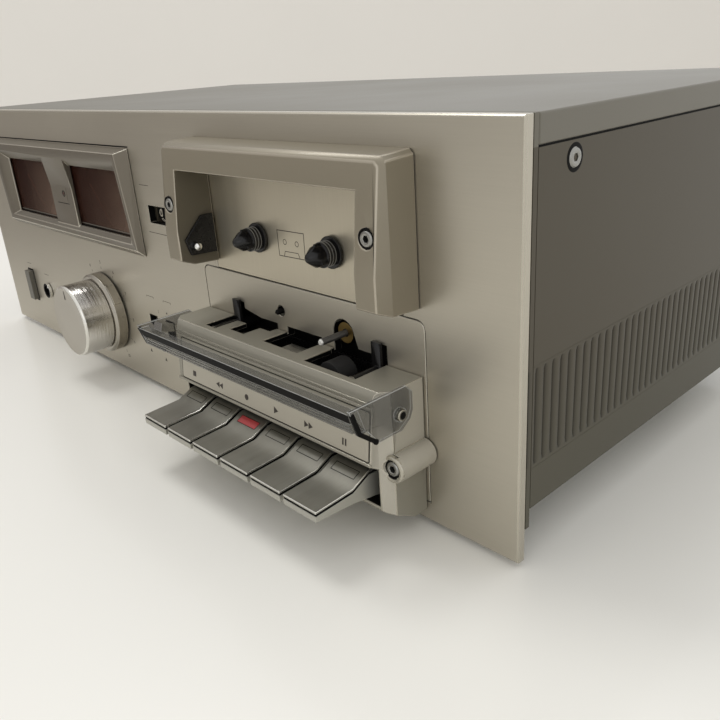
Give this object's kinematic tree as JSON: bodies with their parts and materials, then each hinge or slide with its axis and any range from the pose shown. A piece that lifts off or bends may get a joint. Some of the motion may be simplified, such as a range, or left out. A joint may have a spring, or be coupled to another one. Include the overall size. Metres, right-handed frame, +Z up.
{
  "type": "cassette deck",
  "caption": "Front-loading stereo cassette deck with piano keys, smoked visor, level meters, a double level knob and a ribbed metal cabinet.",
  "frame": {"origin": "middle of the deck's footprint, on the table", "axes": "+X to the right along the faceplate, +Y into the depth, +Z up"},
  "size_m": [0.42, 0.2568, 0.14],
  "materials": {
    "champagne": "brushed, champagne anodised",
    "hood_champagne": "satin metallic paint",
    "housing_plastic": "satin metallic paint",
    "bright_plate": "brushed",
    "polished": "turned and polished",
    "chrome": "polished",
    "steel": "plain zinc plated sheet",
    "top_paint": "satin light grey",
    "side_paint": "matt dark brown-grey",
    "key_metal": "brushed dark anodised",
    "black_plastic": "satin",
    "grey_plastic": "satin",
    "smoked": "smoked clear",
    "window": "tinted clear",
    "paper": "matt",
    "brass": "turned",
    "rubber": "matt",
    "board": "laminate",
    "iron": "varnished laminations"
  },
  "bodies": {
    "cabinet": {"faceplate": "champagne", "front_frame": "steel", "chassis": "steel", "top_cover": "top_paint", "side_panel_left": "side_paint", "side_panel_right": "side_paint", "rear_panel": "top_paint", "foot_front_left": "black_plastic", "foot_front_right": "black_plastic", "foot_rear_left": "black_plastic", "foot_rear_right": "black_plastic", "side_screw_front": "steel", "side_screw_rear": "steel", "meter_bezel": "champagne", "meter_window": "window", "meter_unit": "paper", "headphone_jack": "black_plastic", "level_pot": "steel", "counter_frame": "black_plastic", "cassette_hood": "hood_champagne", "hood_screw_left": "steel", "hood_screw_right": "steel", "cassette_guide": "black_plastic", "spindle_plate": "bright_plate", "head_housing": "housing_plastic", "boss_screw": "steel", "key_shaft": "steel", "mechanism_plate": "steel", "motor": "steel", "drive_belt": "rubber", "transformer": "iron", "circuit_board": "board", "socket_strip": "black_plastic"},
    "needle_left": {"needle_left": "black_plastic"},
    "needle_right": {"needle_right": "black_plastic"},
    "power_button": {"power_button": "grey_plastic"},
    "level_knob": {"level_knob": "polished"},
    "level_ring": {"level_ring": "polished"},
    "lever_left": {"lever_switch_left": "chrome"},
    "lever_right": {"lever_switch_right": "chrome"},
    "wheel_units": {"counter_wheel_units": "black_plastic"},
    "wheel_tens": {"counter_wheel_tens": "black_plastic"},
    "wheel_hundreds": {"counter_wheel_hundreds": "black_plastic"},
    "reset_button": {"counter_reset": "black_plastic"},
    "supply_spindle": {"spindle_supply": "black_plastic"},
    "takeup_spindle": {"spindle_takeup": "black_plastic"},
    "visor": {"visor": "smoked"},
    "key_stop": {"key_stop": "key_metal"},
    "key_rewind": {"key_rewind": "key_metal"},
    "key_record": {"key_record": "key_metal"},
    "key_play": {"key_play": "key_metal"},
    "key_forward": {"key_forward": "key_metal"},
    "key_pause": {"key_pause": "key_metal"},
    "capstan": {"capstan_flywheel": "steel"},
    "pulley": {"motor_pulley": "brass"},
    "carriage": {"head_carriage": "grey_plastic", "record_head": "chrome", "erase_head": "chrome"},
    "pinch_arm": {"pinch_arm": "steel"},
    "pinch_roller": {"pinch_roller": "rubber"}
  },
  "joints": [
    {"name": "visor_swing", "type": "hinge", "parent": "cabinet", "child": "visor", "pos_m": [0.1105, -0.09765, 0.0494], "axis": [-1, 0, 0], "range_deg": [0, 60]},
    {"name": "stop_press", "type": "hinge", "parent": "cabinet", "child": "key_stop", "pos_m": [0.0625, -0.09265, 0.0222], "axis": [1, 0, 0], "range_deg": [0, 7], "stiffness_Nm_per_rad": 0.8, "springref_deg": -5.73},
    {"name": "rewind_press", "type": "hinge", "parent": "cabinet", "child": "key_rewind", "pos_m": [0.0811, -0.09265, 0.0222], "axis": [1, 0, 0], "range_deg": [0, 7], "stiffness_Nm_per_rad": 0.8, "springref_deg": -5.73},
    {"name": "record_press", "type": "hinge", "parent": "cabinet", "child": "key_record", "pos_m": [0.0997, -0.09265, 0.0222], "axis": [1, 0, 0], "range_deg": [0, 7], "stiffness_Nm_per_rad": 0.8, "springref_deg": -5.73},
    {"name": "play_press", "type": "hinge", "parent": "cabinet", "child": "key_play", "pos_m": [0.1183, -0.09265, 0.0222], "axis": [1, 0, 0], "range_deg": [0, 7], "stiffness_Nm_per_rad": 0.8, "springref_deg": -5.73},
    {"name": "forward_press", "type": "hinge", "parent": "cabinet", "child": "key_forward", "pos_m": [0.1369, -0.09265, 0.0222], "axis": [1, 0, 0], "range_deg": [0, 7], "stiffness_Nm_per_rad": 0.8, "springref_deg": -5.73},
    {"name": "pause_press", "type": "hinge", "parent": "cabinet", "child": "key_pause", "pos_m": [0.1555, -0.09265, 0.0222], "axis": [1, 0, 0], "range_deg": [0, 7], "stiffness_Nm_per_rad": 0.8, "springref_deg": -5.73},
    {"name": "carriage_slide", "type": "slide", "parent": "cabinet", "child": "carriage", "axis": [0, 0, 1], "range_m": [0, 0.0055]},
    {"name": "pinch_swing", "type": "hinge", "parent": "carriage", "child": "pinch_arm", "pos_m": [0.1462, -0.08465, 0.0442], "axis": [0, 1, 0], "range_deg": [0, 9.5]},
    {"name": "pinch_spin", "type": "hinge", "parent": "pinch_arm", "child": "pinch_roller", "pos_m": [0.1375, -0.08465, 0.0515], "axis": [0, 1, 0], "continuous": true},
    {"name": "capstan_spin", "type": "hinge", "parent": "cabinet", "child": "capstan", "pos_m": [0.134, -0.08465, 0.0643], "axis": [0, 1, 0], "continuous": true},
    {"name": "pulley_spin", "type": "hinge", "parent": "cabinet", "child": "pulley", "pos_m": [0.078, -0.08465, 0.066], "axis": [0, 1, 0], "continuous": true},
    {"name": "supply_spin", "type": "hinge", "parent": "cabinet", "child": "supply_spindle", "pos_m": [0.08925, -0.08465, 0.094], "axis": [0, 1, 0], "continuous": true},
    {"name": "takeup_spin", "type": "hinge", "parent": "cabinet", "child": "takeup_spindle", "pos_m": [0.13175, -0.08465, 0.094], "axis": [0, 1, 0], "continuous": true},
    {"name": "units_spin", "type": "hinge", "parent": "cabinet", "child": "wheel_units", "pos_m": [0.0216, -0.07385, 0.0945], "axis": [1, 0, 0], "continuous": true},
    {"name": "tens_spin", "type": "hinge", "parent": "cabinet", "child": "wheel_tens", "pos_m": [0.0149, -0.07385, 0.0945], "axis": [1, 0, 0], "continuous": true},
    {"name": "hundreds_spin", "type": "hinge", "parent": "cabinet", "child": "wheel_hundreds", "pos_m": [0.0082, -0.07385, 0.0945], "axis": [1, 0, 0], "continuous": true},
    {"name": "reset_push", "type": "slide", "parent": "cabinet", "child": "reset_button", "axis": [0, 1, 0], "range_m": [0, 0.0025], "stiffness_N_per_m": 150, "springref_m": -0.002},
    {"name": "power_push", "type": "slide", "parent": "cabinet", "child": "power_button", "axis": [0, 1, 0], "range_m": [0, 0.0025], "stiffness_N_per_m": 150, "springref_m": -0.002},
    {"name": "level_turn", "type": "hinge", "parent": "cabinet", "child": "level_knob", "pos_m": [-0.0612, -0.08465, 0.0345], "axis": [0, 1, 0], "range_deg": [-150, 150]},
    {"name": "balance_turn", "type": "hinge", "parent": "cabinet", "child": "level_ring", "pos_m": [-0.0612, -0.08465, 0.0345], "axis": [0, 1, 0], "range_deg": [-150, 150]},
    {"name": "left_lever_tilt", "type": "hinge", "parent": "cabinet", "child": "lever_left", "pos_m": [-0.0103, -0.07715, 0.0373], "axis": [-1, 0, 0], "range_deg": [0, 34]},
    {"name": "right_lever_tilt", "type": "hinge", "parent": "cabinet", "child": "lever_right", "pos_m": [0.006, -0.07715, 0.0373], "axis": [1, 0, 0], "range_deg": [0, 34]},
    {"name": "left_meter", "type": "hinge", "parent": "cabinet", "child": "needle_left", "pos_m": [-0.12975, -0.07985, 0.0789], "axis": [0, 1, 0], "range_deg": [0, 80], "stiffness_Nm_per_rad": 0.0001, "springref_deg": -5.73},
    {"name": "right_meter", "type": "hinge", "parent": "cabinet", "child": "needle_right", "pos_m": [-0.04475, -0.07985, 0.0789], "axis": [0, 1, 0], "range_deg": [0, 80], "stiffness_Nm_per_rad": 0.0001, "springref_deg": -5.73}
  ],
  "couplings": [
    {"joint": "carriage_slide", "follows": "play_press", "m_per_rad": 0.0442},
    {"joint": "pinch_swing", "follows": "play_press", "ratio": 1.328},
    {"joint": "pulley_spin", "follows": "capstan_spin", "ratio": 5.237},
    {"joint": "tens_spin", "follows": "units_spin", "ratio": 0.1},
    {"joint": "hundreds_spin", "follows": "units_spin", "ratio": 0.01}
  ]
}
